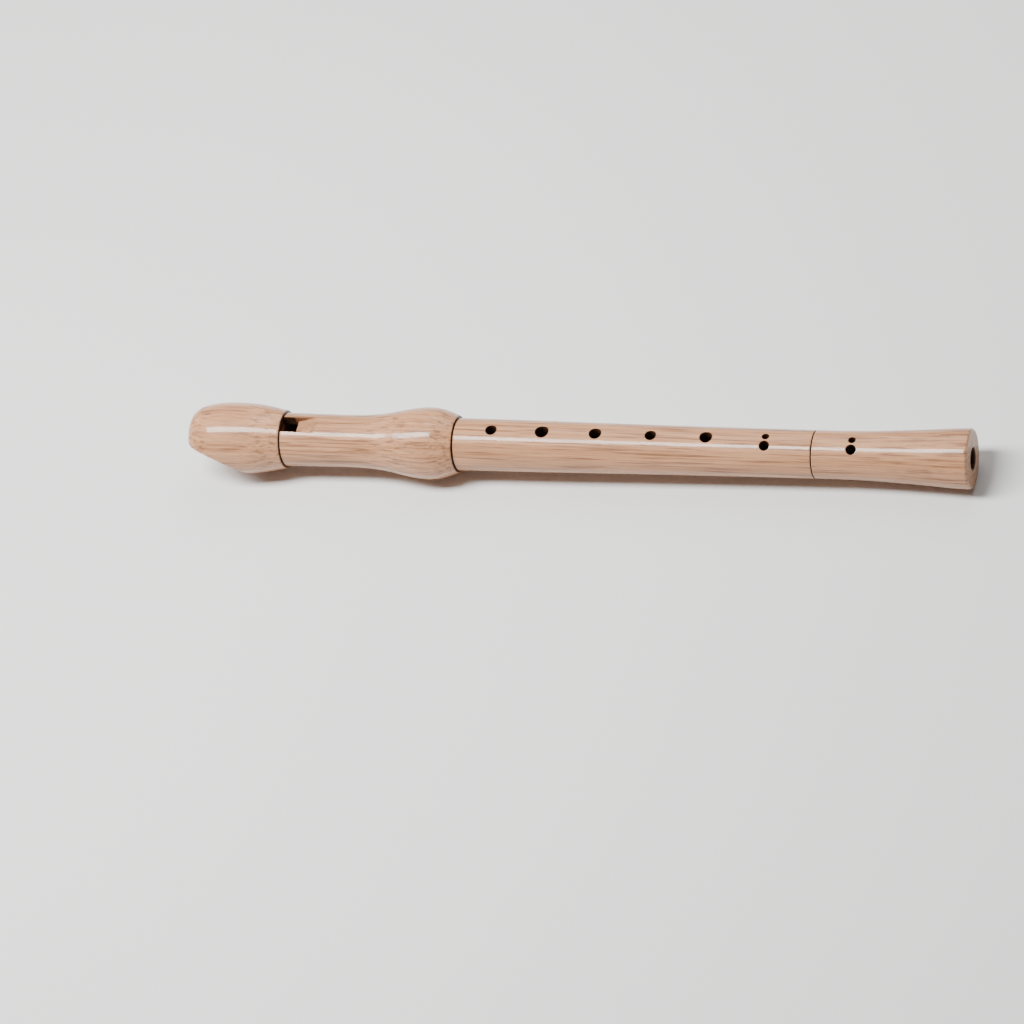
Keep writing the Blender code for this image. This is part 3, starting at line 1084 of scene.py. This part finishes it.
def build_middle():
    """The slim middle joint, from its upper tenon to its lower one."""
    top, end = HEAD_END + SEAM, FOOT_START - SEAM
    curve = smooth_curve([(top, 10.6), (150.0, 10.4), (190.0, 10.0), (230.0, 9.75), (end, SLIM)])
    bore = straight(MIDDLE_START, MIDDLE_END, MIDDLE_BORE)
    upper = tenon_profile(MIDDLE_START, top, UPPER_SOCKET, UPPER_CORK, CORK_THICKNESS)
    lower = tenon_profile(MIDDLE_END, end, LOWER_SOCKET, LOWER_CORK, LOWER_CORK_THICKNESS)
    body = [(s, curve(s)) for s in stations_round(MIDDLE_DRILLINGS, top + 0.6, end - 0.6, 1.0)]
    front = eased_corner((top, curve(top)), upper[-1], body[0], SEAM_EASE)
    back = eased_corner((end, curve(end)), body[-1], lower[-1], SEAM_EASE)
    outer = [*upper, *front, *body, *back, *reversed(lower)]
    # The seam rows and the bore get painted shade, dark as the gaps between joints and the inside of the
    # tube in shade.
    seam = [OILED_AND_PAINTED_SHADE] * 3
    lacquered = [LACQUERED] * (len(front) + len(body) + len(back) - 5)
    finishes = [BARE] * (len(upper) - 1) + seam + lacquered + seam + [BARE] * len(lower)
    inner = [
        (s, bore(s)) for s in stations_round(MIDDLE_DRILLINGS, MIDDLE_START, MIDDLE_END, 2.0)
    ]
    finishes = (finishes, [OILED_AND_PAINTED_SHADE] * len(inner), BARE)
    return Tube(MIDDLE_DRILLINGS).build("middle_wood", outer, inner, (curve, bore), finishes)


def build_foot():
    """The foot joint, from its socket to the rounded lip of its bell."""
    curve = smooth_curve(
        [
            (FOOT_START, SLIM),
            (272.0, SLIM),
            (284.0, 9.9),
            (296.0, 10.45),
            (308.0, 11.15),
            (317.0, 11.8),
            (LENGTH, 12.1),
        ]
    )
    floor = MIDDLE_END + SEAM
    bore = straight(floor, LENGTH, FOOT_BORE)
    lip, chamfer = 1.3, 0.35
    body = [(s, curve(s)) for s in stations_round(FOOT_DRILLINGS, FOOT_START + 0.6, LENGTH - 1.4, 1.0)]
    mouth = (FOOT_START, LOWER_SOCKET + chamfer)
    front = eased_corner((FOOT_START, curve(FOOT_START)), mouth, body[0], SEAM_EASE)
    rim = eased_corner((LENGTH, curve(LENGTH)), body[-1], (LENGTH, FOOT_BORE[1]), lip, 8)
    held = (LENGTH, rim[-1][1] - 0.2)
    outer = [*front, *body, *rim, held]
    wide = FOOT_BORE[1] + chamfer
    inner = [
        mouth,
        (FOOT_START + chamfer, LOWER_SOCKET),
        (floor, LOWER_SOCKET),
        *[(s, bore(s)) for s in stations_round(FOOT_DRILLINGS, floor, LENGTH - chamfer, 2.0)],
        (LENGTH, wide),
    ]
    # The seam rows, the bore and the face at the socket's mouth get painted shade.
    outside = [OILED_AND_PAINTED_SHADE] * 2 + [LACQUERED] * (len(outer) - 4) + [BARE] * 2
    inside = [BARE] * 3 + [OILED_AND_PAINTED_SHADE] * (len(inner) - 3)
    finishes = (outside, inside, OILED_AND_PAINTED_SHADE)
    return Tube(FOOT_DRILLINGS).build("foot_wood", outer, inner, (curve, bore), finishes)


def build_cork(name, cork, socket, thickness):
    """A cork sleeve that fills its groove, with a crumbly surface."""
    start, end = cork[0] - SEAM + FIT, cork[1] + SEAM - FIT
    low, high = socket - 2 * SEAM - thickness + FIT, socket - FIT
    ease = 0.3
    front = eased_corner((start, high), (start, low), (end, high), ease)
    back = eased_corner((end, high), (start, high), (end, low), ease)
    top = [(s, high) for s in evenly(start + ease + 0.2, end - ease - 0.2, 0.25)]
    sleeve = turning(name, [(start, low), *front, *top, *back, (end, low)], 224)
    grain = sizes().cork_grain
    for vertex in sleeve.data.vertices:
        out = Vector((0, vertex.co.y, vertex.co.z - AXIS.z))
        if out.length > (low + ease) * MM:
            crumb = noise.noise(vertex.co / (0.55 * MM)) + 0.5 * noise.noise(vertex.co / (0.22 * MM))
            vertex.co += out.normalized() * grain * crumb / 1.5
    return sleeve


# ---- Stage -----------------------------------------------------------------------------------
def aim(item, target):
    """Turns a light so that it faces a target, with its local X along the recorder."""
    back = (item.location - target).normalized()
    along = Vector((0, 1, 0)).cross(back).normalized()
    item.rotation_euler = Matrix((along, back.cross(along), back)).transposed().to_euler()


def add_softbox(name, place, target, width, length, power):
    """A large flat light whose long side lies along the recorder."""
    light = bpy.data.lights.new(name, "AREA")
    light.shape = "RECTANGLE"
    light.size, light.size_y = length, width
    light.energy = power
    box = bpy.data.objects.new(name, light)
    box.location = place
    bpy.context.collection.objects.link(box)
    aim(box, target)
    return box


def add_camera(centre):
    """A long-lens camera above the near side, rolled so that the recorder lies nearly level."""
    azimuth, elevation, roll = math.radians(28.5), math.radians(51), math.radians(21)
    back = Vector(
        (
            math.sin(azimuth) * math.cos(elevation),
            -math.cos(azimuth) * math.cos(elevation),
            math.sin(elevation),
        )
    )
    level = Vector((math.cos(azimuth), math.sin(azimuth), 0))
    above = back.cross(level)
    right = level * math.cos(roll) - above * math.sin(roll)
    up = above * math.cos(roll) + level * math.sin(roll)
    camera = bpy.data.cameras.new("camera")
    camera.lens, camera.sensor_width = 180, 36
    # The recorder fills three quarters of the picture's width and sits a little above its middle.
    filled, aside, raised = 0.755, 0.062, 0.063
    width = LENGTH * MM * right.x / filled
    distance = width * camera.lens / camera.sensor_width
    holder = bpy.data.objects.new("camera", camera)
    rotation = Matrix((right, up, back)).transposed()
    place = centre - right * width * aside - up * width * raised + back * distance
    holder.matrix_world = Matrix.Translation(place) @ rotation.to_4x4()
    bpy.context.collection.objects.link(holder)
    bpy.context.scene.camera = holder


def add_floor(colour):
    """A wide pale floor that meets the bulge of the head joint and the bell of the foot joint."""
    shape = bmesh.new()
    bmesh.ops.create_grid(shape, x_segments=8, y_segments=8, size=3.0)
    mesh = bpy.data.meshes.new("floor")
    shape.to_mesh(mesh)
    shape.free()
    floor = bpy.data.objects.new("floor", mesh)
    bpy.context.collection.objects.link(floor)
    bulge, bell, bell_radius, clearance = 101.5, 323.0, 12.05, 0.02
    rise = girth("head_barrel") - bell_radius
    floor.rotation_euler = (0, -math.atan(rise / (bell - bulge)), 0)
    floor.location = (CAD_LOW.x + bulge * MM, 0, CAD_LOW.z - clearance * MM)
    material = bpy.data.materials.new("floor_paint")
    material.use_nodes = True
    tree = material.node_tree
    principled = tree.nodes["Principled BSDF"]
    mottle = add_node(
        tree,
        "ShaderNodeTexNoise",
        {
            "Vector": add_node(tree, "ShaderNodeTexCoord").outputs["Object"],
            "Scale": 3.0,
            "Detail": 2.0,
        },
    ).outputs["Fac"]
    darker = opaque([0.985 * c for c in colour])
    tone = blend_colours(tree, mottle, opaque(colour), darker)
    tree.links.new(tone, principled.inputs["Base Color"])
    principled.inputs["Roughness"].default_value = 0.7
    mesh.materials.append(material)


def add_world():
    """A dim white sky that fills the shadows."""
    world = bpy.data.worlds.new("studio")
    bpy.context.scene.world = world
    world.use_nodes = True
    background = world.node_tree.nodes["Background"]
    background.inputs["Color"].default_value = (1.0, 1.0, 1.0, 1.0)
    background.inputs["Strength"].default_value = 0.13


# ---- Operators -------------------------------------------------------------------------------
class RECORDER_OT_mouthpiece(Operator):
    """Adds the beaked mouthpiece, with the roof of the windway"""

    bl_idname = "recorder.mouthpiece"
    bl_label = "Mouthpiece"

    def execute(self, context):
        finishes = pearwood("mouthpiece", (31.0, 14.0, 24.0), (0.35, 0.012, 0.02))
        finish_piece(build_mouthpiece(), "mouthpiece", "head", finishes)
        return {"FINISHED"}


class RECORDER_OT_block(Operator):
    """Adds the cedar block, with the floor of the windway"""

    bl_idname = "recorder.block"
    bl_label = "Block"

    def execute(self, context):
        finish_piece(build_block(), "fipple_block", "block", [cedar()])
        return {"FINISHED"}


class RECORDER_OT_barrel(Operator):
    """Adds the head joint's barrel, with the window, the labium and the upper socket"""

    bl_idname = "recorder.barrel"
    bl_label = "Head Barrel"

    def execute(self, context):
        finishes = pearwood("barrel", (-57.0, 22.0, 17.0), (1.2, -0.01, 0.015))
        finish_piece(build_barrel(), "head_barrel", "head", finishes)
        return {"FINISHED"}


class RECORDER_OT_middle_joint(Operator):
    """Adds the middle joint, with its tenons, thumb hole and finger holes"""

    bl_idname = "recorder.middle_joint"
    bl_label = "Middle Joint"

    def execute(self, context):
        finishes = pearwood("middle", (210.0, -18.0, 26.0), (2.1, 0.008, -0.012))
        finish_piece(build_middle(), "middle_joint", "middle", finishes)
        return {"FINISHED"}


class RECORDER_OT_foot_joint(Operator):
    """Adds the foot joint, with its socket, last holes and bell"""

    bl_idname = "recorder.foot_joint"
    bl_label = "Foot Joint"

    def execute(self, context):
        finishes = pearwood("foot", (-140.0, 9.0, 15.0), (0.6, 0.0, 0.02))
        finish_piece(build_foot(), "foot_joint", "foot", finishes)
        return {"FINISHED"}


class RECORDER_OT_corks(Operator):
    """Adds the cork sleeves of both tenons"""

    bl_idname = "recorder.corks"
    bl_label = "Corks"

    def execute(self, context):
        material = cork_material()
        upper = build_cork("upper_cork_sleeve", UPPER_CORK, UPPER_SOCKET, CORK_THICKNESS)
        finish_piece(upper, "upper_tenon_cork", "upper_cork", [material])
        lower = build_cork("lower_cork_sleeve", LOWER_CORK, LOWER_SOCKET, LOWER_CORK_THICKNESS)
        finish_piece(lower, "lower_tenon_cork", "lower_cork", [material])
        return {"FINISHED"}


class RECORDER_OT_stage(Operator):
    """Adds the floor, the studio lights and the camera"""

    bl_idname = "recorder.stage"
    bl_label = "Stage"

    def execute(self, context):
        centre = (CAD_LOW + CAD_HIGH) / 2
        add_floor(colours().floor)
        add_world()
        add_softbox("strip", centre + Vector((-0.40, -0.15, 0.89)), centre, 0.24, 0.74, 23.0)
        add_softbox("sky", centre + Vector((0.1, 0.75, 0.95)), centre, 1.0, 1.0, 7.5)
        add_camera(centre)
        return {"FINISHED"}


class RECORDER_PT_panel(Panel):
    """The recorder's sizes, colours and pieces in the sidebar"""

    bl_idname = "RECORDER_PT_panel"
    bl_label = "Soprano Recorder"
    bl_space_type = "VIEW_3D"
    bl_region_type = "UI"
    bl_category = "Recorder"

    def draw(self, context):
        layout = self.layout
        for group in (context.scene.recorder_sizes, context.scene.recorder_colours):
            box = layout.box()
            for name in group.bl_rna.properties.keys():
                if name not in {"rna_type", "name"}:
                    box.prop(group, name)
        column = layout.column(align=True)
        for operator in OPERATORS:
            column.operator(operator.bl_idname)


OPERATORS = (
    RECORDER_OT_mouthpiece,
    RECORDER_OT_block,
    RECORDER_OT_barrel,
    RECORDER_OT_middle_joint,
    RECORDER_OT_foot_joint,
    RECORDER_OT_corks,
    RECORDER_OT_stage,
)
CLASSES = (RecorderSizes, RecorderColours, *OPERATORS, RECORDER_PT_panel)


def register():
    for cls in CLASSES:
        bpy.utils.register_class(cls)
    bpy.types.Scene.recorder_sizes = PointerProperty(type=RecorderSizes)
    bpy.types.Scene.recorder_colours = PointerProperty(type=RecorderColours)


def unregister():
    del bpy.types.Scene.recorder_colours
    del bpy.types.Scene.recorder_sizes
    for cls in reversed(CLASSES):
        bpy.utils.unregister_class(cls)


def main():
    register()
    bpy.ops.recorder.mouthpiece()
    bpy.ops.recorder.block()
    bpy.ops.recorder.barrel()
    bpy.ops.recorder.middle_joint()
    bpy.ops.recorder.foot_joint()
    bpy.ops.recorder.corks()
    bpy.ops.recorder.stage()


if __name__ == "__main__":
    main()
